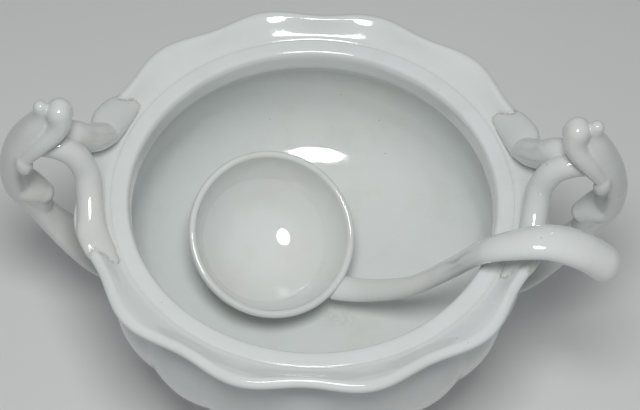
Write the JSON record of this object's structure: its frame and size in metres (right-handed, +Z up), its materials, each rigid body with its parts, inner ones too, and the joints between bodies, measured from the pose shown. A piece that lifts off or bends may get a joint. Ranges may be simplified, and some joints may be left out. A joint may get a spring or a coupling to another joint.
{
  "type": "soup tureen",
  "caption": "Footed, slightly oval white earthenware soup tureen with a scalloped rim, two scrolled handles and a loose ladle lying in it.",
  "frame": {"origin": "on the table under the centre of the foot", "axes": "+X toward the right handle, -Y the front, +Z up"},
  "size_m": [0.351, 0.2514, 0.2428],
  "materials": {
    "glaze": "clear glossy glaze over a cool white earthenware body",
    "handle_glaze": "clear glossy glaze, faintly stained in the seams",
    "ladle_glaze": "clear glossy glaze, slightly cream toward the handle's root"
  },
  "bodies": {
    "tureen": {"bowl": "glaze", "foot": "glaze", "handle_left_scroll": "handle_glaze", "handle_left_front_arm": "handle_glaze", "handle_left_back_arm": "handle_glaze", "handle_left_back_leaf": "handle_glaze", "handle_left_lower_arm": "handle_glaze", "handle_right_scroll": "handle_glaze", "handle_right_front_arm": "handle_glaze", "handle_right_back_arm": "handle_glaze", "handle_right_back_leaf": "handle_glaze", "handle_right_lower_arm": "handle_glaze"},
    "ladle": {"ladle_bowl": "ladle_glaze", "ladle_handle": "ladle_glaze"}
  },
  "joints": [
    {"name": "ladle_lift", "type": "slide", "parent": "tureen", "child": "ladle", "axis": [0, 0, 1], "range_m": [0, 0.3]}
  ]
}
